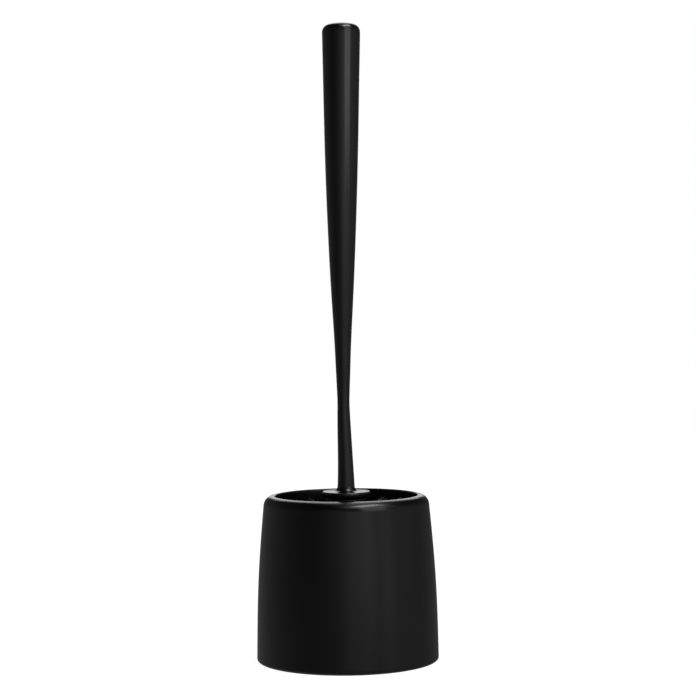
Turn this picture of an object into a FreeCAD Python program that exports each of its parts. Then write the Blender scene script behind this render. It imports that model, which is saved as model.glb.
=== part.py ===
"""Toilet brush standing in its round holder, in millimetres.

The origin is the centre of the holder's foot ring, on the floor, and +Z is up.
The holder is one double-walled moulding: a skirt outside, open at the bottom,
rolls over at the rim into a bucket with its own floor. The brush hangs on the
same axis: a hollow handle with an end cap, screwed to a moulded head that
carries rows of bristle tufts, each held in its hole by a flat wire anchor.
"""

import FreeCAD, Part
import math
import os
from collections import namedtuple

from FreeCAD import Vector

# Holder, outside
FOOT_RADIUS = 52.9
FOOT_CORNER = 1.7
SKIRT_OUTLINE = [(52.9, 1.7), (52.5, 24.0), (51.6, 48.0), (49.9, 72.0), (48.25, 90.15)]
RIM_HEIGHT = 96.0
RIM_ROLL = 5.85
RIM_LIP = 0.9

# Holder, walls and bucket
SKIRT_WALL = 2.2
BUCKET_WALL = 2.0
BUCKET_TOP_RADIUS = 41.5
BUCKET_FLOOR_RADIUS = 38.5
BUCKET_FLOOR_HEIGHT = 8.0
BUCKET_CORNER = 6.0
BELOW_FOOT = 1.0

# Handle, outside: radius and height down to the trumpet above the foot, and how many
# circles its skin is drawn through
HANDLE_OUTLINE = [
    (11.05, 364.85), (10.55, 340.0), (9.65, 296.0), (8.25, 252.6), (6.2, 209.0),
    (4.62, 180.0), (4.07, 166.0), (3.55, 151.0), (3.85, 136.0), (4.4, 115.0), (4.95, 101.2),
]
HANDLE_STATIONS = 28
TRUMPET_RADIUS = 3.0
FOOT_DISC_RADIUS = 14.05
FOOT_DISC_EDGE = 1.0
FOOT_DISC_BOTTOM = 95.0

# The handle's slight bend towards -X: none at its foot and under the cap, most at the waist
BEND = 1.0
BEND_BOTTOM = 101.2
BEND_WAIST = 151.0
BEND_TOP = 360.0

# Handle, inside
PLUG_SEAT_RADIUS = 8.5
PLUG_SEAT_BOTTOM = 350.0
HOLLOW_TOP_RADIUS = 7.6
HOLLOW_END_RADIUS = 3.3
HOLLOW_END = 216.0

# End cap: the shallow dome and its rounded edge, above the handle's open end
CAP_EDGE = 4.2
CAP_TOP = 370.0
PLUG_DEPTH = 12.0
PLUG_WALL = 1.6
PLUG_FIT = 0.02

# Screw joint between head and handle
STUD_RADIUS = 3.0
STUD_TOP = 107.0
STUD_CHAMFER = 0.6
SOCKET_CLEARANCE = 0.05
SOCKET_END_GAP = 1.5
FACE_GAP = 0.1

# Brush head core
CORE_RADIUS = 12.0
CORE_BALL_HEIGHT = 42.0
CORE_TOP_EDGE = 1.5

# Bristle tufts: rows round the barrel, trimmed to one radius, and rows on its round
# end, each given as its tilt above the horizontal in degrees, tufts and length
SIDE_ROWS = 6
SIDE_TUFTS = 14
SIDE_TOP_HEIGHT = 83.0
SIDE_PITCH = 7.9
SIDE_TOP_TILT = 15.0
SIDE_BOTTOM_TILT = -19.0
TRIM_RADIUS = 36.8
BALL_ROWS = [(-42.0, 9, 29.0), (-67.0, 5, 23.6), (-90.0, 1, 21.4)]
TUFT_ROOT_RADIUS = 1.0
TUFT_TIP_RADIUS = 2.6
HOLE_RADIUS = 1.45
HOLE_DEPTH = 4.4
BALL_HOLE_DEPTH = 3.6

# Wire anchor across the fold of each tuft
ANCHOR_WIDTH = 2.84
ANCHOR_HEIGHT = 1.6
ANCHOR_THICKNESS = 0.4
ANCHOR_ABOVE_HOLE_END = 0.7

UP = Vector(0, 0, 1)
ORIGIN = Vector(0, 0, 0)

# A row of tufts: where it leaves the core, its tilt, how many tufts, their length
# outside the core and the depth of their holes
Row = namedtuple("Row", "root_radius root_height tilt count length depth")


def at(radius, height):
    """A point of an outline, in the plane that is turned round the axis."""
    return Vector(radius, 0, height)


def line(start, end):
    return Part.LineSegment(start, end).toShape()


def arc(centre, radius, from_degrees, to_degrees):
    """An arc in the outline's plane, with its angles measured from outwards towards up."""
    points = []
    for share in (0, 0.5, 1):
        angle = math.radians(from_degrees + (to_degrees - from_degrees) * share)
        points.append(centre + Vector(radius * math.cos(angle), 0, radius * math.sin(angle)))
    return Part.Arc(*points).toShape()


def smooth(points):
    """One smooth curve through a few outline points."""
    curve = Part.BSplineCurve()
    curve.interpolate([at(*p) for p in points])
    return curve.toShape()


def turned(edges):
    """The solid that an outline makes when it turns once round the axis."""
    wire = Part.Wire(edges)
    return Part.Face(wire).revolve(ORIGIN, UP, 360)


def bucket_radius(height):
    """The bucket's inner radius, which narrows evenly from the lip to the floor."""
    lip = RIM_HEIGHT - RIM_LIP
    share = (lip - height) / (lip - BUCKET_FLOOR_HEIGHT)
    return BUCKET_TOP_RADIUS - (BUCKET_TOP_RADIUS - BUCKET_FLOOR_RADIUS) * share


def holder_block():
    """The holder's outside and its bucket, before the space between them is taken out."""
    roll_centre = at(SKIRT_OUTLINE[-1][0] - RIM_ROLL, RIM_HEIGHT - RIM_ROLL)
    lip_centre = at(BUCKET_TOP_RADIUS + RIM_LIP, RIM_HEIGHT - RIM_LIP)
    wall_end = BUCKET_FLOOR_HEIGHT + BUCKET_CORNER
    corner_centre = at(bucket_radius(wall_end) - BUCKET_CORNER, wall_end)
    return turned([
        line(at(0, 0), at(FOOT_RADIUS - FOOT_CORNER, 0)),
        arc(at(FOOT_RADIUS - FOOT_CORNER, FOOT_CORNER), FOOT_CORNER, -90, 0),
        smooth(SKIRT_OUTLINE),
        arc(roll_centre, RIM_ROLL, 0, 90),
        arc(lip_centre, RIM_LIP, 90, 180),
        line(at(BUCKET_TOP_RADIUS, RIM_HEIGHT - RIM_LIP), at(bucket_radius(wall_end), wall_end)),
        arc(corner_centre, BUCKET_CORNER, 0, -90),
        line(corner_centre - Vector(0, 0, BUCKET_CORNER), at(0, BUCKET_FLOOR_HEIGHT)),
        line(at(0, BUCKET_FLOOR_HEIGHT), at(0, 0)),
    ])


def space_between_walls():
    """The space under the bucket and up between it and the skirt."""
    inside = [(radius - SKIRT_WALL, height) for radius, height in SKIRT_OUTLINE]
    roll_centre = at(SKIRT_OUTLINE[-1][0] - RIM_ROLL, RIM_HEIGHT - RIM_ROLL)
    roll = RIM_ROLL - SKIRT_WALL
    wall_top_radius = BUCKET_TOP_RADIUS + BUCKET_WALL
    reach = wall_top_radius - roll_centre.x
    meet_angle = math.degrees(math.acos(reach / roll))
    meet = at(wall_top_radius, roll_centre.z + roll * math.sin(math.radians(meet_angle)))
    wall_end = BUCKET_FLOOR_HEIGHT + BUCKET_CORNER
    outer_corner = BUCKET_CORNER + BUCKET_WALL
    corner_centre = at(bucket_radius(wall_end) - BUCKET_CORNER, wall_end)
    below = at(inside[0][0], -BELOW_FOOT)
    return turned([
        line(at(0, -BELOW_FOOT), below),
        line(below, at(*inside[0])),
        smooth(inside),
        arc(roll_centre, roll, 0, meet_angle),
        line(meet, corner_centre + Vector(outer_corner, 0, 0)),
        arc(corner_centre, outer_corner, 0, -90),
        line(corner_centre - Vector(0, 0, outer_corner), at(0, BUCKET_FLOOR_HEIGHT - BUCKET_WALL)),
        line(at(0, BUCKET_FLOOR_HEIGHT - BUCKET_WALL), at(0, -BELOW_FOOT)),
    ])


def holder_cup():
    return holder_block().cut(space_between_walls())


def bend(height):
    """How far the handle's centre line stands from the axis towards -X."""
    if height <= BEND_BOTTOM or height >= BEND_TOP:
        return 0
    if height < BEND_WAIST:
        share = (height - BEND_BOTTOM) / (BEND_WAIST - BEND_BOTTOM)
        return BEND * share ** 2 * (3 - 2 * share)
    share = (BEND_TOP - height) / (BEND_TOP - BEND_WAIST)
    return BEND * share * (2 - share)


def handle_skin():
    """The handle's outside above the trumpet, through circles set along its bent centre line."""
    curve = Part.BSplineCurve()
    curve.interpolate([at(*p) for p in HANDLE_OUTLINE])
    circles = []
    for point in curve.discretize(HANDLE_STATIONS):
        centre = Vector(-bend(point.z), 0, point.z)
        circles.append(Part.Wire(Part.makeCircle(point.x, centre, UP)))
    return Part.makeLoft(circles, True)


def handle_foot():
    """The trumpet that the stem opens into, and the round foot that covers the brush head."""
    stem_radius, stem_end = HANDLE_OUTLINE[-1]
    trumpet_centre = at(stem_radius + TRUMPET_RADIUS, stem_end)
    disc_top = stem_end - TRUMPET_RADIUS
    edge_centre = at(FOOT_DISC_RADIUS - FOOT_DISC_EDGE, disc_top - FOOT_DISC_EDGE)
    return turned([
        line(at(0, stem_end), at(stem_radius, stem_end)),
        arc(trumpet_centre, TRUMPET_RADIUS, 180, 270),
        line(at(trumpet_centre.x, disc_top), at(edge_centre.x, disc_top)),
        arc(edge_centre, FOOT_DISC_EDGE, 90, 0),
        line(at(FOOT_DISC_RADIUS, edge_centre.z), at(FOOT_DISC_RADIUS, FOOT_DISC_BOTTOM)),
        line(at(FOOT_DISC_RADIUS, FOOT_DISC_BOTTOM), at(0, FOOT_DISC_BOTTOM)),
        line(at(0, FOOT_DISC_BOTTOM), at(0, stem_end)),
    ])


def handle_hollow():
    """The tapering space inside the handle, open at the top with a wider seat for the cap's plug."""
    top = HANDLE_OUTLINE[0][1]
    corner = at(HOLLOW_END_RADIUS, HOLLOW_END + HOLLOW_END_RADIUS)
    return turned([
        arc(at(0, corner.z), HOLLOW_END_RADIUS, -90, 0),
        line(corner, at(HOLLOW_TOP_RADIUS, PLUG_SEAT_BOTTOM)),
        line(at(HOLLOW_TOP_RADIUS, PLUG_SEAT_BOTTOM), at(PLUG_SEAT_RADIUS, PLUG_SEAT_BOTTOM)),
        line(at(PLUG_SEAT_RADIUS, PLUG_SEAT_BOTTOM), at(PLUG_SEAT_RADIUS, top)),
        line(at(PLUG_SEAT_RADIUS, top), at(0, top)),
        line(at(0, top), at(0, HOLLOW_END)),
    ])


def handle():
    """The handle: hollow from its open top to above the waist, solid below, with a blind socket."""
    depth = STUD_TOP + SOCKET_END_GAP - FOOT_DISC_BOTTOM
    socket = Part.makeCylinder(STUD_RADIUS + SOCKET_CLEARANCE, depth, at(0, FOOT_DISC_BOTTOM))
    return handle_skin().fuse(handle_foot()).cut([handle_hollow(), socket])


def handle_end_cap():
    """The domed cap and the hollow plug that holds it in the handle's open end."""
    rim_radius, seat = HANDLE_OUTLINE[0]
    edge_centre = at(rim_radius - CAP_EDGE, seat)
    rise = CAP_TOP - seat
    dome_radius = (edge_centre.x ** 2 + rise ** 2 - CAP_EDGE ** 2) / (2 * (rise - CAP_EDGE))
    dome_centre = at(0, CAP_TOP - dome_radius)
    meet_angle = math.degrees(math.atan2(seat - dome_centre.z, edge_centre.x))
    plug_outer = PLUG_SEAT_RADIUS - PLUG_FIT
    plug_inner = plug_outer - PLUG_WALL
    plug_end = seat - PLUG_DEPTH
    return turned([
        arc(dome_centre, dome_radius, 90, meet_angle),
        arc(edge_centre, CAP_EDGE, meet_angle, 0),
        line(at(rim_radius, seat), at(plug_outer, seat)),
        line(at(plug_outer, seat), at(plug_outer, plug_end)),
        line(at(plug_outer, plug_end), at(plug_inner, plug_end)),
        line(at(plug_inner, plug_end), at(plug_inner, seat)),
        line(at(plug_inner, seat), at(0, seat)),
        line(at(0, seat), at(0, CAP_TOP)),
    ])


def tuft_rows():
    """Every row of tufts, from the top down."""
    rows = []
    for number in range(SIDE_ROWS):
        share = number / (SIDE_ROWS - 1)
        tilt = SIDE_TOP_TILT + (SIDE_BOTTOM_TILT - SIDE_TOP_TILT) * share
        length = (TRIM_RADIUS - CORE_RADIUS) / math.cos(math.radians(tilt))
        height = SIDE_TOP_HEIGHT - SIDE_PITCH * number
        rows.append(Row(CORE_RADIUS, height, tilt, SIDE_TUFTS, length, HOLE_DEPTH))
    for tilt, count, length in BALL_ROWS:
        radius = CORE_RADIUS * math.cos(math.radians(tilt))
        height = CORE_BALL_HEIGHT + CORE_RADIUS * math.sin(math.radians(tilt))
        rows.append(Row(radius, height, tilt, count, length, BALL_HOLE_DEPTH))
    return rows


def set_round_core(shape, row, place):
    """Copies of a shape made along +Z from the core's surface, one at each tuft of a row.
    Every second row is turned by half a step, so that its tufts stand between the others."""
    copies = []
    for number in range(row.count):
        copy = shape.copy()
        copy.rotate(ORIGIN, Vector(0, 1, 0), 90 - row.tilt)
        copy.translate(at(row.root_radius, row.root_height))
        copy.rotate(ORIGIN, UP, (number + place % 2 / 2) * 360 / row.count)
        copies.append(copy)
    return copies


def anchor(row):
    """The flat wire that is driven into one hole across the fold of its tuft."""
    corner = Vector(-ANCHOR_THICKNESS / 2, -ANCHOR_WIDTH / 2, ANCHOR_ABOVE_HOLE_END - row.depth)
    return Part.makeBox(ANCHOR_THICKNESS, ANCHOR_WIDTH, ANCHOR_HEIGHT, corner)


def tuft(row):
    """One tuft: packed tight at its root in the core, splayed at its trimmed end."""
    root = Vector(0, 0, -row.depth)
    return Part.makeCone(TUFT_ROOT_RADIUS, TUFT_TIP_RADIUS, row.length + row.depth, root)


def tuft_hole(row):
    return Part.makeCylinder(HOLE_RADIUS, row.depth + CORE_RADIUS, Vector(0, 0, -row.depth))


def brush_head_core(rows):
    """The moulded head: a round-ended barrel with a hole for each tuft, and the screw stud."""
    top = FOOT_DISC_BOTTOM - FACE_GAP
    edge_centre = at(CORE_RADIUS - CORE_TOP_EDGE, top - CORE_TOP_EDGE)
    barrel = turned([
        arc(at(0, CORE_BALL_HEIGHT), CORE_RADIUS, -90, 0),
        line(at(CORE_RADIUS, CORE_BALL_HEIGHT), at(CORE_RADIUS, edge_centre.z)),
        arc(edge_centre, CORE_TOP_EDGE, 0, 90),
        line(at(edge_centre.x, top), at(STUD_RADIUS, top)),
        line(at(STUD_RADIUS, top), at(STUD_RADIUS, STUD_TOP - STUD_CHAMFER)),
        line(at(STUD_RADIUS, STUD_TOP - STUD_CHAMFER), at(STUD_RADIUS - STUD_CHAMFER, STUD_TOP)),
        line(at(STUD_RADIUS - STUD_CHAMFER, STUD_TOP), at(0, STUD_TOP)),
        line(at(0, STUD_TOP), at(0, CORE_BALL_HEIGHT - CORE_RADIUS)),
    ])
    holes = []
    for place, row in enumerate(rows):
        holes += set_round_core(tuft_hole(row), row, place)
    return barrel.cut(holes)


def save(name, shape):
    shape.exportStep(f"parts/{name}.step")
    print(name, len(shape.Solids), "solids", round(shape.Volume), "mm3 valid", shape.isValid())


def main():
    os.makedirs("parts", exist_ok=True)
    rows = tuft_rows()
    save("holder_cup", holder_cup())
    save("handle", handle())
    save("handle_end_cap", handle_end_cap())
    save("brush_head_core", brush_head_core(rows))
    for place, row in enumerate(rows):
        name = f"{place + 1:02d}"
        save("tuft_row_" + name, Part.makeCompound(set_round_core(tuft(row), row, place)))
        save("anchor_row_" + name, Part.makeCompound(set_round_core(anchor(row), row, place)))


main()
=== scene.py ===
"""The looks of the toilet brush and its holder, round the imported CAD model.

The camera and the lights are placed in metres. Outlines and bristles are worked out in
millimetres, as in the CAD model, and become metres where their meshes are made.
"""

import math

import bmesh
import bpy
import numpy as np
from mathutils import Matrix, Vector


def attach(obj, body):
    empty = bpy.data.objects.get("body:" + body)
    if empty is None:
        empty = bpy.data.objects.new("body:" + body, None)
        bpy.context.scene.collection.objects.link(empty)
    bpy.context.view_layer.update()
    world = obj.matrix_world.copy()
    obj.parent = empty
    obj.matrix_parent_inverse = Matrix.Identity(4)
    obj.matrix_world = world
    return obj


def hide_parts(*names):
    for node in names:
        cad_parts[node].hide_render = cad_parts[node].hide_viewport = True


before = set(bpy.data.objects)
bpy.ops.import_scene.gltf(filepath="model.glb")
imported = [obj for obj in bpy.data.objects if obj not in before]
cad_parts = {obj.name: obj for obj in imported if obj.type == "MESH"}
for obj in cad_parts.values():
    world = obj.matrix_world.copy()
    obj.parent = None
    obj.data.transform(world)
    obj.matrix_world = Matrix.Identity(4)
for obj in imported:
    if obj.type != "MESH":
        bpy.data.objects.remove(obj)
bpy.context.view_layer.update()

MM = 0.001
GOLDEN_ANGLE = math.pi * (3 - math.sqrt(5))

# Camera, as the object is seen: how far off, how high, turned down, and leaning a little
CAMERA_DISTANCE = 1.116
CAMERA_HEIGHT = 0.2022
CAMERA_SIDE = 0.0020
CAMERA_DOWN = math.radians(1.065)
CAMERA_LEAN = math.radians(-0.65)
CAMERA_LENS = 99.3
SENSOR_WIDTH = 36

# Holder, in millimetres, as in the CAD part, with a gate mark under its floor
SKIRT_OUTLINE = [(52.9, 1.7), (52.5, 24.0), (51.6, 48.0), (49.9, 72.0), (48.25, 90.15)]
FOOT_CORNER = 1.7
SKIRT_WALL = 2.2
FOOT_BREAK = 0.2
RIM_HEIGHT = 96.0
RIM_ROLL = 5.85
RIM_LIP = 0.9
BUCKET_WALL = 2.0
BUCKET_TOP_RADIUS = 41.5
BUCKET_FLOOR_RADIUS = 38.5
BUCKET_FLOOR_HEIGHT = 8.0
BUCKET_CORNER = 6.0
GATE_RADIUS = 2.4
GATE_DEPTH = 0.5
GATE_FLARE = 1.15
GATE_FIRST_RING = 0.5
HOLDER_SIDES = 256

# Handle and end cap, in millimetres, as in the CAD part, with a round at their seam and the
# fine ridge where the two halves of the mould met
HANDLE_OUTLINE = [
    (11.05, 364.85), (10.55, 340.0), (9.65, 296.0), (8.25, 252.6), (6.2, 209.0),
    (4.62, 180.0), (4.07, 166.0), (3.55, 151.0), (3.85, 136.0), (4.4, 115.0), (4.95, 101.2),
]
TRUMPET_RADIUS = 3.0
FOOT_DISC_RADIUS = 14.05
FOOT_DISC_EDGE = 1.0
FOOT_DISC_BOTTOM = 95.0
FOOT_DISC_UNDER_EDGE = 0.25
BEND = 1.0
BEND_BOTTOM = 101.2
BEND_WAIST = 151.0
BEND_TOP = 360.0
SEAM_ROUND = 0.12
SOCKET_RADIUS = 3.05
SOCKET_END = 108.5
HOLLOW_END = 216.0
HOLLOW_END_RADIUS = 3.3
HOLLOW_TOP_RADIUS = 7.6
PLUG_SEAT_RADIUS = 8.5
PLUG_SEAT_BOTTOM = 350.0
PLUG_FIT = 0.02
PLUG_WALL = 1.6
PLUG_DEPTH = 12.0
CAP_EDGE = 4.2
CAP_TOP = 370.0
PARTING_RIDGE = 0.05
PARTING_HALF_WIDTH = math.radians(0.9)
PARTING_SHARES = (-1, -0.6, -0.3, 0.3, 0.6, 1)
HANDLE_SIDES = 144

# How a point of the handle's outline is told to be outside: above its underside, clear of the
# socket's radius, and this much further out than the wall of the hollow
INSIDE_MARGIN = 1.0
PARTING_LEAST_RADIUS = 3.6
HOLLOW_MARGIN = 1.2

# Where arcs that meet the axis or a seam start or stop, in degrees
HOLLOW_FIRST_ANGLE = -84
DOME_FIRST_ANGLE = 89
SEAM_ANGLE = 1.7

# Mesh making
ON_AXIS = 1e-6
SHARP_ANGLE = math.radians(38)

# Brush head, in millimetres, as in the CAD part
CORE_RADIUS = 12.0
CORE_BALL_HEIGHT = 42.0
SIDE_ROWS = 6
SIDE_TUFTS = 14
SIDE_TOP_HEIGHT = 83.0
SIDE_PITCH = 7.9
SIDE_TOP_TILT = 15.0
SIDE_BOTTOM_TILT = -19.0
TRIM_RADIUS = 36.8
BALL_ROWS = [(-42.0, 9, 29.0), (-67.0, 5, 23.6), (-90.0, 1, 21.4)]

# Filaments, in millimetres: how many, how thick, and how they spread, lean, bow and are trimmed
FILAMENTS_PER_TUFT = 36
FILAMENT_RADIUS = 0.2
FILAMENT_SIDES = 5
FILAMENT_RINGS = 9
FILAMENT_START = -1.6
ROOT_SPREAD = 1.15
TIP_SPREAD = 2.6
SPREAD_RANGE = (0.8, 1.15)
TURN_JITTER = 0.3
FLARE_POWER = 1.5
LEAN = 0.4
STRAY_LEAN = 1.1
STRAY_SHARE = 0.05
BOW = 0.35
TRIM_RANGE = (-0.7, 0.25)
TIP_SIZE = 0.62
TIP_DOME = 0.5
FIRST_SEED = 100
WIDEST_DRAW = 2.2

# Materials: colours, roughness, index of refraction, and noise as spots to the metre
SKIN_DARK = (0.0014, 0.0014, 0.0015)
SKIN_LIGHT = (0.0026, 0.0026, 0.0027)
SKIN_ROUGHNESS = 0.19
SKIN_GRAIN = 2600.0
HEAD_DARK = (0.002, 0.002, 0.0022)
HEAD_LIGHT = (0.004, 0.004, 0.0042)
HEAD_ROUGHNESS = 0.4
HEAD_GRAIN = 1800.0
RUBBED = (0.045, 0.044, 0.043)
RUBBED_HEIGHT = 1.6
BRISTLE_DARK = (0.0015, 0.0015, 0.0017)
BRISTLE_LIGHT = (0.008, 0.008, 0.0085)
BRASS_BRIGHT = (0.72, 0.53, 0.24)
BRASS_DULL = (0.42, 0.29, 0.13)
PLASTIC_IOR = 1.49
HANDLE_IOR = 1.56
CLOUD_SPOTS = 28.0
FINE_SPOTS = 420.0
RUB_STREAKS = (900.0, 900.0, 45.0)
RIPPLE_SPOTS = 55.0
ROUGHNESS_SWING = (-0.02, 0.03)
RUB_ROUGHNESS = 0.05
RUBBED_ROUGHNESS = 0.3
BRISTLE_SPOTS = 900.0
BRISTLE_ROUGHNESS = (0.28, 0.44)
BRASS_SPOTS = 700.0
BRASS_LINES = (9000.0, 9000.0, 700.0)
BRASS_ROUGHNESS = (0.22, 0.42)

# Depths of the bumps, in millimetres
RIPPLE_DEPTH = 0.02
GRAIN_DEPTH = 0.0025
BRISTLE_DEPTH = 0.01
BRASS_DEPTH = 0.004

# Sockets of the colour mix node
MIX_FIRST = 6
MIX_SECOND = 7
MIX_RESULT = 2

# Stage: a round floor and a dome, both white by their own glow
STAGE_RADIUS = 6.0
FLOOR_COLOUR = (0.3, 0.3, 0.3)
FLOOR_GLOW = 0.93
BACKDROP_COLOUR = (0.0, 0.0, 0.0)
BACKDROP_GLOW = 1.0
SPECKLE = 0.985

# Broad glows round the object: azimuth, height angle, spread (degrees) and strength
GLOWS = {
    "key": (28, 3, 9, 0.64),
    "key_right": (53, 0, 9, 0.42),
    "key_centre": (8, 2, 9, 0.38),
    "right": (80, 10, 20, 0.32),
    "right_back": (125, 0, 14, 0.06),
    "left": (-110, 0, 28, 0.08),
    "front_left": (-10, 14, 16, 0.19),
    "below": (-85, -85, 42, 0.6),
    "high_right": (66, 50, 8, 1.5),
    "high_front": (28, 60, 9, 2.5),
    "high_back": (136, 75, 10, 1.4),
}

# Softboxes: place, target, width, height and brightness of the cloth
SOFTBOXES = {
    "overhead": ((0.48, -0.26, 1.5), (0, 0, 0.17), 0.8, 0.42, 5.0),
    "front_right": ((0.68, -0.8, 0.74), (0, 0, 0.35), 0.72, 0.86, 1.0),
    "back_low": ((0, 1.3, 0.405), (0, 0, 0.405), 0.54, 0.43, 1.2),
    "back_high": ((0, 1.3, 1.76), (0, 0, 1.76), 0.96, 2.28, 1.35),
}


# ---------------------------------------------------------------- outlines

def line_points(start, end, steps):
    """Points along a straight stretch of an outline, without its end."""
    start, end = np.array(start, float), np.array(end, float)
    return [tuple(start + (end - start) * i / steps) for i in range(steps)]


def arc_points(centre, radius, start, end, steps):
    """Points round an arc, without its end. Angles are in degrees from outwards towards up."""
    angles = [math.radians(start + (end - start) * i / steps) for i in range(steps)]
    return [(centre[0] + radius * math.cos(a), centre[1] + radius * math.sin(a)) for a in angles]


def smooth_points(knots, steps):
    """Points along the natural cubic spline through knots, without its end."""
    knots = np.array(knots, float)
    gaps = np.linalg.norm(np.diff(knots, axis=0), axis=1)
    count = len(knots)
    matrix = np.zeros((count, count))
    right = np.zeros((count, 2))
    matrix[0, 0] = matrix[-1, -1] = 1
    for i in range(1, count - 1):
        matrix[i, i - 1:i + 2] = gaps[i - 1], 2 * (gaps[i - 1] + gaps[i]), gaps[i]
        slope_change = (knots[i + 1] - knots[i]) / gaps[i] - (knots[i] - knots[i - 1]) / gaps[i - 1]
        right[i] = 6 * slope_change
    bends = np.linalg.solve(matrix, right)
    points = []
    for i, gap in enumerate(gaps):
        for step in range(steps):
            a = step / steps
            b = 1 - a
            point = b * knots[i] + a * knots[i + 1]
            point = point + ((b ** 3 - b) * bends[i] + (a ** 3 - a) * bends[i + 1]) * gap ** 2 / 6
            points.append(tuple(point))
    return points


def bucket_radius(height):
    """The bucket's inner radius, which narrows evenly from the lip to the floor."""
    lip = RIM_HEIGHT - RIM_LIP
    share = (lip - height) / (lip - BUCKET_FLOOR_HEIGHT)
    return BUCKET_TOP_RADIUS - (BUCKET_TOP_RADIUS - BUCKET_FLOOR_RADIUS) * share


def holder_outline():
    """Under the floor, up between the walls, down inside the skirt, and over the rim to the floor."""
    roll_centre = (SKIRT_OUTLINE[-1][0] - RIM_ROLL, RIM_HEIGHT - RIM_ROLL)
    roll = RIM_ROLL - SKIRT_WALL
    reach = BUCKET_TOP_RADIUS + BUCKET_WALL - roll_centre[0]
    meet_angle = math.degrees(math.acos(reach / roll))
    meet = (roll_centre[0] + reach, roll_centre[1] + roll * math.sin(math.radians(meet_angle)))
    wall_end = BUCKET_FLOOR_HEIGHT + BUCKET_CORNER
    corner = (bucket_radius(wall_end) - BUCKET_CORNER, wall_end)
    under = BUCKET_FLOOR_HEIGHT - BUCKET_WALL
    outer_corner = BUCKET_CORNER + BUCKET_WALL
    inside = [(radius - SKIRT_WALL, height) for radius, height in SKIRT_OUTLINE][::-1]
    foot = inside[-1][0]
    ring = SKIRT_OUTLINE[0][0] - FOOT_CORNER
    lip_centre = (BUCKET_TOP_RADIUS + RIM_LIP, RIM_HEIGHT - RIM_LIP)
    gate_first = (GATE_RADIUS * GATE_FIRST_RING, under - GATE_DEPTH)
    gate_edge = (GATE_RADIUS, under - GATE_DEPTH)
    gate_root = (GATE_RADIUS * GATE_FLARE, under)
    points = [(0, under - GATE_DEPTH)]
    points += line_points(gate_first, gate_edge, 2)
    points += line_points(gate_edge, gate_root, 2)
    points += line_points(gate_root, (corner[0], under), 14)
    points += arc_points(corner, outer_corner, -90, 0, 14)
    points += line_points((corner[0] + outer_corner, wall_end), meet, 24)
    points += arc_points(roll_centre, roll, meet_angle, 0, 12)
    points += smooth_points(inside, 9)
    points += line_points(inside[-1], (foot, FOOT_BREAK), 2)
    points += line_points((foot, FOOT_BREAK), (foot + FOOT_BREAK, 0), 2)
    points += line_points((foot + FOOT_BREAK, 0), (ring, 0), 2)
    points += arc_points((ring, FOOT_CORNER), FOOT_CORNER, -90, 0, 12)
    points += smooth_points(SKIRT_OUTLINE, 14)
    points += arc_points(roll_centre, RIM_ROLL, 0, 90, 24)
    points += arc_points(lip_centre, RIM_LIP, 90, 180, 12)
    points += line_points((BUCKET_TOP_RADIUS, lip_centre[1]), (corner[0] + BUCKET_CORNER, wall_end), 30)
    points += arc_points(corner, BUCKET_CORNER, 0, -90, 14)
    points += line_points((corner[0], BUCKET_FLOOR_HEIGHT), (0, BUCKET_FLOOR_HEIGHT), 12)
    points.append((0, BUCKET_FLOOR_HEIGHT))
    return points


def handle_outline():
    """Down the outside to the foot, up the socket, then up the hollow to the open top."""
    top_radius, top = HANDLE_OUTLINE[0]
    stem_radius, stem_end = HANDLE_OUTLINE[-1]
    trumpet_centre = (stem_radius + TRUMPET_RADIUS, stem_end)
    disc_top = stem_end - TRUMPET_RADIUS
    edge_centre = (FOOT_DISC_RADIUS - FOOT_DISC_EDGE, disc_top - FOOT_DISC_EDGE)
    under_centre = (FOOT_DISC_RADIUS - FOOT_DISC_UNDER_EDGE, FOOT_DISC_BOTTOM + FOOT_DISC_UNDER_EDGE)
    seam_centre = (top_radius - SEAM_ROUND, top - SEAM_ROUND)
    knots = [(top_radius, top - SEAM_ROUND)] + HANDLE_OUTLINE[1:]
    points = arc_points(seam_centre, SEAM_ROUND, 90, 0, 4)
    points += smooth_points(knots, 14)
    points += arc_points(trumpet_centre, TRUMPET_RADIUS, 180, 270, 20)
    points += arc_points(edge_centre, FOOT_DISC_EDGE, 90, 0, 8)
    points += line_points((FOOT_DISC_RADIUS, edge_centre[1]), (FOOT_DISC_RADIUS, under_centre[1]), 3)
    points += arc_points(under_centre, FOOT_DISC_UNDER_EDGE, 0, -90, 4)
    points += line_points((under_centre[0], FOOT_DISC_BOTTOM), (SOCKET_RADIUS, FOOT_DISC_BOTTOM), 6)
    points += line_points((SOCKET_RADIUS, FOOT_DISC_BOTTOM), (SOCKET_RADIUS, SOCKET_END), 8)
    points += [(SOCKET_RADIUS, SOCKET_END), (0, SOCKET_END), (0, HOLLOW_END)]
    hollow = (0, HOLLOW_END + HOLLOW_END_RADIUS)
    points += arc_points(hollow, HOLLOW_END_RADIUS, HOLLOW_FIRST_ANGLE, 0, 8)
    points += line_points((HOLLOW_END_RADIUS, hollow[1]), (HOLLOW_TOP_RADIUS, PLUG_SEAT_BOTTOM), 12)
    points += line_points((HOLLOW_TOP_RADIUS, PLUG_SEAT_BOTTOM), (PLUG_SEAT_RADIUS, PLUG_SEAT_BOTTOM), 2)
    points += line_points((PLUG_SEAT_RADIUS, PLUG_SEAT_BOTTOM), (PLUG_SEAT_RADIUS, top), 5)
    points += line_points((PLUG_SEAT_RADIUS, top), seam_centre[:1] + (top,), 3)
    return points


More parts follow.
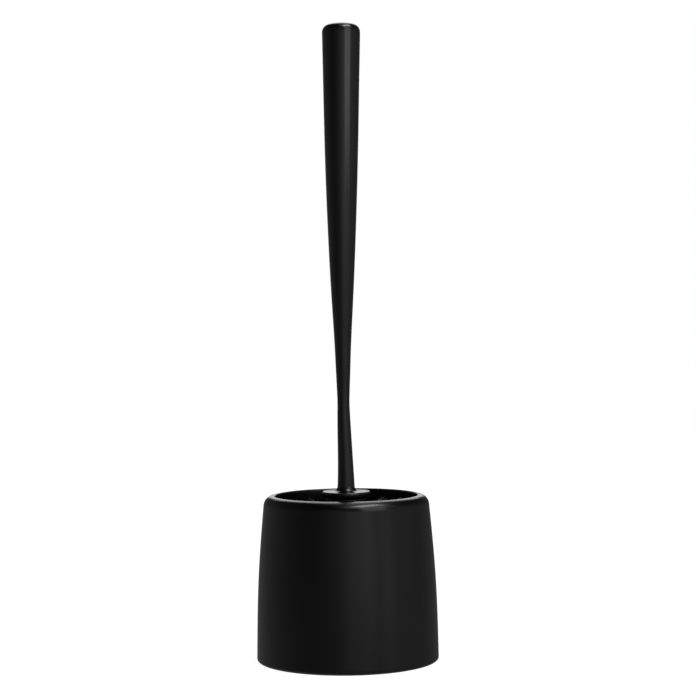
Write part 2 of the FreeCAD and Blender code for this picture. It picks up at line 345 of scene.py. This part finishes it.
def cap_outline():
    """Over the dome and its rounded edge, in to the plug, down and up inside it."""
    rim_radius, seat = HANDLE_OUTLINE[0]
    edge = (rim_radius - CAP_EDGE, seat)
    rise = CAP_TOP - seat
    dome = (edge[0] ** 2 + rise ** 2 - CAP_EDGE ** 2) / (2 * (rise - CAP_EDGE))
    meet_angle = math.degrees(math.atan2(seat - (CAP_TOP - dome), edge[0]))
    plug_outer = PLUG_SEAT_RADIUS - PLUG_FIT
    plug_inner = plug_outer - PLUG_WALL
    plug_end = seat - PLUG_DEPTH
    seam_centre = (rim_radius - SEAM_ROUND, seat + SEAM_ROUND)
    points = [(0, CAP_TOP)]
    points += arc_points((0, CAP_TOP - dome), dome, DOME_FIRST_ANGLE, meet_angle, 14)
    points += arc_points(edge, CAP_EDGE, meet_angle, SEAM_ANGLE, 18)
    points += arc_points(seam_centre, SEAM_ROUND, 0, -90, 4)
    points += line_points((rim_radius - SEAM_ROUND, seat), (plug_outer, seat), 3)
    points += line_points((plug_outer, seat), (plug_outer, plug_end), 5)
    points += line_points((plug_outer, plug_end), (plug_inner, plug_end), 2)
    points += line_points((plug_inner, plug_end), (plug_inner, seat), 5)
    points += line_points((plug_inner, seat), (0, seat), 4)
    points.append((0, seat))
    return points


# ---------------------------------------------------------------- meshes

def new_object(name, mesh, material):
    obj = bpy.data.objects.new(name, mesh)
    bpy.context.scene.collection.objects.link(obj)
    mesh.materials.append(material)
    return obj


def even_angles(count):
    return [2 * math.pi * i / count for i in range(count)]


def lathe(name, outline, angles, material, swell=None, shift=None):
    """A closed outline in millimetres, turned round the axis. swell(angle, radius, height) adds
    to the radius, and shift(radius, height) moves a whole ring towards -X."""
    mesh = bpy.data.meshes.new(name)
    bm = bmesh.new()
    rings = []
    for radius, height in outline:
        if radius < ON_AXIS:
            rings.append([bm.verts.new((0, 0, height * MM))])
            continue
        ring = []
        off = shift(radius, height) if shift else 0
        for angle in angles:
            r = radius + (swell(angle, radius, height) if swell else 0)
            place = (r * math.cos(angle) - off, r * math.sin(angle), height)
            ring.append(bm.verts.new(Vector(place) * MM))
        rings.append(ring)
    count = len(angles)
    for here, there in zip(rings, rings[1:] + rings[:1]):
        for i in range(count):
            j = (i + 1) % count
            corners = [here[i % len(here)], here[j % len(here)]]
            corners += [there[j % len(there)], there[i % len(there)]]
            corners = list(dict.fromkeys(corners))
            if len(corners) > 2:
                bm.faces.new(corners)
    bmesh.ops.recalc_face_normals(bm, faces=bm.faces)
    bm.to_mesh(mesh)
    bm.free()
    mesh.shade_smooth()
    mesh.set_sharp_from_angle(angle=SHARP_ANGLE)
    return new_object(name, mesh, material)


def parting_angles(count):
    """Even angles, with a few more where the two halves of the mould met, at +X and -X."""
    extra = []
    for side in (0, math.pi):
        for share in PARTING_SHARES:
            extra.append((side + share * PARTING_HALF_WIDTH) % (2 * math.pi))
    return sorted(set(even_angles(count) + extra))


def parting_ridge(angle, radius, height):
    """The fine raised line that the mould's halves leave down the handle's two sides."""
    if radius < PLUG_SEAT_RADIUS and height > PLUG_SEAT_BOTTOM:
        return 0
    above_foot = height > FOOT_DISC_BOTTOM + INSIDE_MARGIN
    outside = above_foot and radius > PARTING_LEAST_RADIUS and not inside_hollow(radius, height)
    off = min(abs(angle - side) for side in (0, math.pi, 2 * math.pi))
    if not outside or off >= PARTING_HALF_WIDTH:
        return 0
    return PARTING_RIDGE * (1 - off / PARTING_HALF_WIDTH)


def inside_hollow(radius, height):
    """Whether a point of the handle's outline is on its inner wall."""
    if height < HOLLOW_END:
        return False
    share = (height - HOLLOW_END) / (PLUG_SEAT_BOTTOM - HOLLOW_END)
    wall = HOLLOW_END_RADIUS + (HOLLOW_TOP_RADIUS - HOLLOW_END_RADIUS) * share
    return radius < wall + HOLLOW_MARGIN


def bend(radius, height):
    """How far the handle's outside stands towards -X, where its centre line bends."""
    in_socket = radius <= SOCKET_RADIUS and height < SOCKET_END + INSIDE_MARGIN
    if in_socket or inside_hollow(radius, height) or not BEND_BOTTOM < height < BEND_TOP:
        return 0
    if height < BEND_WAIST:
        share = (height - BEND_BOTTOM) / (BEND_WAIST - BEND_BOTTOM)
        return BEND * share ** 2 * (3 - 2 * share)
    share = (BEND_TOP - height) / (BEND_TOP - BEND_WAIST)
    return BEND * share * (2 - share)


def tuft_rows():
    """Every row of tufts from the top down: root radius, root height, tilt, count, length."""
    rows = []
    for number in range(SIDE_ROWS):
        share = number / (SIDE_ROWS - 1)
        tilt = SIDE_TOP_TILT + (SIDE_BOTTOM_TILT - SIDE_TOP_TILT) * share
        length = (TRIM_RADIUS - CORE_RADIUS) / math.cos(math.radians(tilt))
        rows.append((CORE_RADIUS, SIDE_TOP_HEIGHT - SIDE_PITCH * number, tilt, SIDE_TUFTS, length))
    for tilt, count, length in BALL_ROWS:
        root_radius = CORE_RADIUS * math.cos(math.radians(tilt))
        root_height = CORE_BALL_HEIGHT + CORE_RADIUS * math.sin(math.radians(tilt))
        rows.append((root_radius, root_height, tilt, count, length))
    return rows


def filament_line(random, root, along, across, up, length, number):
    """Points down the middle of one filament: it leaves its hole straight and splays to its tip."""
    share = math.sqrt((number + 0.5) / FILAMENTS_PER_TUFT)
    turn = number * GOLDEN_ANGLE + random.uniform(-TURN_JITTER, TURN_JITTER)
    side = across * math.cos(turn) + up * math.sin(turn)
    spread = TIP_SPREAD * share * random.uniform(*SPREAD_RANGE)
    stray = random.share() < STRAY_SHARE
    lean = (across * random.normal() + up * random.normal()) * (STRAY_LEAN if stray else LEAN)
    bow = (across * random.normal() + up * random.normal()) * BOW
    reach = length + random.uniform(*TRIM_RANGE)
    points = []
    for ring in range(FILAMENT_RINGS):
        s = ring / (FILAMENT_RINGS - 1)
        distance = FILAMENT_START + (reach - FILAMENT_START) * s
        flare = s ** FLARE_POWER
        offset = side * (ROOT_SPREAD * share * (1 - flare) + spread * flare)
        offset = offset + lean * s ** 2 + bow * math.sin(math.pi * s)
        points.append(root + along * distance + offset)
    return points


class Draws:
    """Seeded random numbers, so that every run draws the same bristles."""

    def __init__(self, seed):
        self.source = np.random.default_rng(seed)

    def uniform(self, low, high):
        return float(self.source.uniform(low, high))

    def share(self):
        return float(self.source.random())

    def normal(self):
        return float(np.clip(self.source.normal(), -WIDEST_DRAW, WIDEST_DRAW))


def bristle_row(name, row, place, material):
    """All the filaments of one row, each a thin closed tube with a rounded tip."""
    root_radius, root_height, tilt, count, length = row
    tilt = math.radians(tilt)
    random = Draws(FIRST_SEED + place)
    vertices, faces, tones = [], [], []
    sides = range(FILAMENT_SIDES)
    for tuft in range(count):
        angle = (tuft + place % 2 / 2) * 2 * math.pi / count
        out = Vector((math.cos(angle), math.sin(angle), 0))
        across = Vector((-math.sin(angle), math.cos(angle), 0))
        along = out * math.cos(tilt) + Vector((0, 0, math.sin(tilt)))
        up = along.cross(across)
        root = out * root_radius + Vector((0, 0, root_height))
        for number in range(FILAMENTS_PER_TUFT):
            points = filament_line(random, root, along, across, up, length, number)
            tone = random.share()
            first = len(vertices)
            for ring, point in enumerate(points):
                size = FILAMENT_RADIUS * (TIP_SIZE if ring == FILAMENT_RINGS - 1 else 1)
                for k in sides:
                    turn = 2 * math.pi * k / FILAMENT_SIDES
                    corner = point + (across * math.cos(turn) + up * math.sin(turn)) * size
                    vertices.append(corner * MM)
            for ring in range(FILAMENT_RINGS - 1):
                low = first + ring * FILAMENT_SIDES
                for k in sides:
                    n = (k + 1) % FILAMENT_SIDES
                    faces.append((low + k, low + n, low + n + FILAMENT_SIDES, low + k + FILAMENT_SIDES))
            faces.append(tuple(first + k for k in reversed(sides)))
            last = first + (FILAMENT_RINGS - 1) * FILAMENT_SIDES
            vertices.append((points[-1] + along * FILAMENT_RADIUS * TIP_DOME) * MM)
            for k in sides:
                faces.append((last + k, last + (k + 1) % FILAMENT_SIDES, len(vertices) - 1))
            tones += [tone] * (len(vertices) - first)
    mesh = bpy.data.meshes.new(name)
    mesh.from_pydata([tuple(v) for v in vertices], [], faces)
    mesh.attributes.new("tone", "FLOAT", "POINT").data.foreach_set("value", tones)
    mesh.shade_smooth()
    mesh.validate()
    return new_object(name, mesh, material)


# ---------------------------------------------------------------- materials

class Nodes:
    """A short way to build one node material."""

    def __init__(self, name):
        self.material = bpy.data.materials.new(name)
        self.material.use_nodes = True
        self.tree = self.material.node_tree
        self.tree.nodes.clear()
        self.output = self.tree.nodes.new("ShaderNodeOutputMaterial")
        self.shader = self.tree.nodes.new("ShaderNodeBsdfPrincipled")
        self.link(self.shader.outputs["BSDF"], self.output.inputs["Surface"])

    def link(self, source, target):
        self.tree.links.new(source, target)

    def place(self):
        return self.tree.nodes.new("ShaderNodeTexCoord").outputs["Object"]

    def stretched(self, scale):
        mapping = self.tree.nodes.new("ShaderNodeMapping")
        mapping.inputs["Scale"].default_value = scale
        self.link(self.place(), mapping.inputs["Vector"])
        return mapping.outputs["Vector"]

    def noise(self, scale, detail=2.0, roughness=0.5, vector=None):
        node = self.tree.nodes.new("ShaderNodeTexNoise")
        node.inputs["Scale"].default_value = scale
        node.inputs["Detail"].default_value = detail
        node.inputs["Roughness"].default_value = roughness
        self.link(vector or self.place(), node.inputs["Vector"])
        return node.outputs["Fac"]

    def range(self, value, from_low, from_high, to_low, to_high):
        node = self.tree.nodes.new("ShaderNodeMapRange")
        node.interpolation_type = "SMOOTHSTEP"
        self.link(value, node.inputs["Value"])
        node.inputs["From Min"].default_value = from_low
        node.inputs["From Max"].default_value = from_high
        node.inputs["To Min"].default_value = to_low
        node.inputs["To Max"].default_value = to_high
        return node.outputs["Result"]

    def combine(self, first, second, operation="ADD"):
        node = self.tree.nodes.new("ShaderNodeMath")
        node.operation = operation
        self.link(first, node.inputs[0])
        if isinstance(second, (int, float)):
            node.inputs[1].default_value = second
        else:
            self.link(second, node.inputs[1])
        return node.outputs[0]

    def mix(self, factor, first, second):
        node = self.tree.nodes.new("ShaderNodeMix")
        node.data_type = "RGBA"
        self.link(factor, node.inputs["Factor"])
        for socket, colour in ((node.inputs[MIX_FIRST], first), (node.inputs[MIX_SECOND], second)):
            if isinstance(colour, tuple):
                socket.default_value = colour + (1,)
            else:
                self.link(colour, socket)
        return node.outputs[MIX_RESULT]

    def bump(self, height, distance, below=None):
        node = self.tree.nodes.new("ShaderNodeBump")
        node.inputs["Strength"].default_value = 1.0
        node.inputs["Distance"].default_value = distance
        self.link(height, node.inputs["Height"])
        if below is not None:
            self.link(below, node.inputs["Normal"])
        return node.outputs["Normal"]


def moulded_black(name, dark, light, roughness, grain, foot_wear=False, ior=PLASTIC_IOR):
    """Black moulded plastic: faint tone change, fine grain, soft ripple, and rubbed streaks."""
    nodes = Nodes(name)
    clouds = nodes.noise(CLOUD_SPOTS, 3.0)
    colour = nodes.mix(nodes.range(clouds, 0.35, 0.65, 0, 1), dark, light)
    fine = nodes.noise(FINE_SPOTS, 3.0, 0.6)
    rubs = nodes.noise(1.0, 4.0, 0.65, nodes.stretched(RUB_STREAKS))
    smoothest, roughest = (roughness + swing for swing in ROUGHNESS_SWING)
    rough = nodes.range(clouds, 0.3, 0.7, smoothest, roughest)
    rough = nodes.combine(rough, nodes.range(rubs, 0.56, 0.72, 0, RUB_ROUGHNESS))
    if foot_wear:
        height = nodes.tree.nodes.new("ShaderNodeSeparateXYZ")
        nodes.link(nodes.place(), height.inputs[0])
        low = nodes.range(height.outputs["Z"], 0.0, RUBBED_HEIGHT * MM, 1, 0)
        worn = nodes.combine(low, nodes.range(fine, 0.42, 0.62, 0, 1), "MULTIPLY")
        colour = nodes.mix(worn, colour, RUBBED)
        rough = nodes.combine(rough, nodes.combine(worn, RUBBED_ROUGHNESS, "MULTIPLY"))
    nodes.link(colour, nodes.shader.inputs["Base Color"])
    nodes.link(rough, nodes.shader.inputs["Roughness"])
    ripple = nodes.bump(nodes.noise(RIPPLE_SPOTS, 1.0), RIPPLE_DEPTH * MM)
    skin = nodes.bump(nodes.noise(grain, 2.0), GRAIN_DEPTH * MM, ripple)
    nodes.link(skin, nodes.shader.inputs["Normal"])
    nodes.shader.inputs["IOR"].default_value = ior
    return nodes.material


def bristle_black(name):
    """Extruded filament: each one a little lighter or darker, with a fine uneven surface."""
    nodes = Nodes(name)
    tone = nodes.tree.nodes.new("ShaderNodeAttribute")
    tone.attribute_name = "tone"
    colour = nodes.mix(tone.outputs["Fac"], BRISTLE_DARK, BRISTLE_LIGHT)
    nodes.link(colour, nodes.shader.inputs["Base Color"])
    fine = nodes.noise(BRISTLE_SPOTS, 2.0)
    nodes.link(nodes.range(fine, 0.3, 0.7, *BRISTLE_ROUGHNESS), nodes.shader.inputs["Roughness"])
    nodes.link(nodes.bump(fine, BRISTLE_DEPTH * MM), nodes.shader.inputs["Normal"])
    nodes.shader.inputs["IOR"].default_value = PLASTIC_IOR
    return nodes.material


def drawn_brass(name):
    """Flat brass wire with draw lines and dull patches."""
    nodes = Nodes(name)
    dull = nodes.noise(BRASS_SPOTS, 3.0)
    colour = nodes.mix(nodes.range(dull, 0.4, 0.7, 0, 1), BRASS_BRIGHT, BRASS_DULL)
    nodes.link(colour, nodes.shader.inputs["Base Color"])
    lines = nodes.noise(1.0, 2.0, 0.5, nodes.stretched(BRASS_LINES))
    nodes.link(nodes.range(lines, 0.3, 0.7, *BRASS_ROUGHNESS), nodes.shader.inputs["Roughness"])
    nodes.link(nodes.bump(lines, BRASS_DEPTH * MM), nodes.shader.inputs["Normal"])
    nodes.shader.inputs["Metallic"].default_value = 1.0
    return nodes.material


def give(node, material):
    """A carried-over CAD node keeps its mesh and gets this material."""
    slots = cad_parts[node].data.materials
    slots.clear()
    slots.append(material)


# ---------------------------------------------------------------- pieces

def make_holder():
    skin = moulded_black("holder_black", SKIN_DARK, SKIN_LIGHT, SKIN_ROUGHNESS, SKIN_GRAIN, foot_wear=True)
    cup = lathe("holder_moulding", holder_outline(), even_angles(HOLDER_SIDES), skin)
    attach(cup, "holder")
    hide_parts("holder_cup")


def make_handle():
    skin = moulded_black("handle_black", SKIN_DARK, SKIN_LIGHT, SKIN_ROUGHNESS, SKIN_GRAIN, ior=HANDLE_IOR)
    stem = lathe("handle_stem", handle_outline(), parting_angles(HANDLE_SIDES), skin, parting_ridge, bend)
    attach(stem, "handle")
    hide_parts("handle")
    cap = lathe("end_cap_dome", cap_outline(), even_angles(HANDLE_SIDES), skin)
    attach(cap, "handle")
    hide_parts("handle_end_cap")


def make_brush_head():
    satin = moulded_black("head_black", HEAD_DARK, HEAD_LIGHT, HEAD_ROUGHNESS, HEAD_GRAIN)
    give("brush_head_core", satin)
    bristle = bristle_black("bristle_black")
    brass = drawn_brass("anchor_brass")
    for place, row in enumerate(tuft_rows()):
        number = f"{place + 1:02d}"
        piece = bristle_row("bristles_" + number, row, place, bristle)
        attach(piece, "brush_head")
        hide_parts("tuft_row_" + number)
        give("anchor_row_" + number, brass)


# ---------------------------------------------------------------- stage

def make_camera():
    data = bpy.data.cameras.new("camera")
    data.lens = CAMERA_LENS
    data.sensor_width = SENSOR_WIDTH
    camera = bpy.data.objects.new("camera", data)
    bpy.context.scene.collection.objects.link(camera)
    turn = Matrix.Rotation(math.pi / 2 - CAMERA_DOWN, 4, "X") @ Matrix.Rotation(CAMERA_LEAN, 4, "Z")
    camera.matrix_world = Matrix.Translation((CAMERA_SIDE, -CAMERA_DISTANCE, CAMERA_HEIGHT)) @ turn
    bpy.context.scene.camera = camera


def stage_disc(name, radius, material):
    mesh = bpy.data.meshes.new(name)
    bm = bmesh.new()
    bmesh.ops.create_circle(bm, cap_ends=True, radius=radius, segments=128)
    bm.to_mesh(mesh)
    bm.free()
    return new_object(name, mesh, material)


def stage_dome(name, radius, material):
    mesh = bpy.data.meshes.new(name)
    bm = bmesh.new()
    bmesh.ops.create_uvsphere(bm, u_segments=64, v_segments=32, radius=radius)
    bm.to_mesh(mesh)
    bm.free()
    mesh.shade_smooth()
    return new_object(name, mesh, material)


def glowing(name, colour, glow):
    """A pale stage surface that is lifted to white by its own even glow."""
    nodes = Nodes(name)
    speckle = nodes.noise(6.0, 2.0)
    near = tuple(c * SPECKLE for c in colour)
    nodes.link(nodes.mix(speckle, near, colour), nodes.shader.inputs["Base Color"])
    nodes.shader.inputs["Roughness"].default_value = 0.9
    nodes.shader.inputs["Specular IOR Level"].default_value = 0.0
    nodes.shader.inputs["Emission Color"].default_value = (1, 1, 1, 1)
    nodes.shader.inputs["Emission Strength"].default_value = glow
    return nodes.material


def make_stage():
    """The floor and the dome show to the camera only, so the lights alone shape the plastic."""
    floor = stage_disc("floor", STAGE_RADIUS, glowing("floor_white", FLOOR_COLOUR, FLOOR_GLOW))
    backdrop_white = glowing("backdrop_white", BACKDROP_COLOUR, BACKDROP_GLOW)
    dome = stage_dome("backdrop", STAGE_RADIUS, backdrop_white)
    for part in (floor, dome):
        part.visible_glossy = False
        part.visible_diffuse = False
        part.visible_transmission = False
        part.visible_shadow = False


def softbox(name, place, target, width, height, power):
    """A flat soft light at place, turned to face target."""
    data = bpy.data.lights.new(name, "AREA")
    data.shape = "RECTANGLE"
    data.size = width
    data.size_y = height
    data.energy = power
    lamp = bpy.data.objects.new(name, data)
    bpy.context.scene.collection.objects.link(lamp)
    lamp.location = place
    lamp.rotation_mode = "QUATERNION"
    lamp.rotation_quaternion = (Vector(target) - Vector(place)).to_track_quat("-Z", "Y")


def direction(azimuth, height):
    """A direction in degrees. Azimuth 0 is the camera's side, 90 is +X, and 180 is behind."""
    azimuth, height = math.radians(azimuth), math.radians(height)
    flat = math.cos(height)
    return Vector((flat * math.sin(azimuth), -flat * math.cos(azimuth), math.sin(height)))


def make_surroundings():
    """A dark room with a few broad, soft-edged glows, as large diffusers far away give."""
    world = bpy.data.worlds.new("world")
    world.use_nodes = True
    tree = world.node_tree
    tree.nodes.clear()
    output = tree.nodes.new("ShaderNodeOutputWorld")
    background = tree.nodes.new("ShaderNodeBackground")
    tree.links.new(background.outputs[0], output.inputs["Surface"])
    place = tree.nodes.new("ShaderNodeTexCoord").outputs["Generated"]
    total = None
    for azimuth, height, spread, strength in GLOWS.values():
        sharpness = 1 / math.radians(spread) ** 2
        cosine = tree.nodes.new("ShaderNodeVectorMath")
        cosine.operation = "DOT_PRODUCT"
        cosine.inputs[1].default_value = direction(azimuth, height)
        tree.links.new(place, cosine.inputs[0])
        fall = tree.nodes.new("ShaderNodeMath")
        fall.operation = "MULTIPLY_ADD"
        fall.inputs[1].default_value = sharpness
        fall.inputs[2].default_value = math.log(strength) - sharpness
        tree.links.new(cosine.outputs["Value"], fall.inputs[0])
        glow = tree.nodes.new("ShaderNodeMath")
        glow.operation = "EXPONENT"
        tree.links.new(fall.outputs[0], glow.inputs[0])
        if total is None:
            total = glow.outputs[0]
            continue
        both = tree.nodes.new("ShaderNodeMath")
        tree.links.new(total, both.inputs[0])
        tree.links.new(glow.outputs[0], both.inputs[1])
        total = both.outputs[0]
    tree.links.new(total, background.inputs["Strength"])
    bpy.context.scene.world = world


def make_lights():
    """A softbox's power follows from its size and the brightness its cloth should have."""
    for name, (place, target, width, height, glow) in SOFTBOXES.items():
        softbox(name, place, target, width, height, glow * math.pi * width * height)
    make_surroundings()
    bpy.context.scene.view_settings.view_transform = "Standard"


make_camera()
make_holder()
make_handle()
make_brush_head()
make_stage()
make_lights()
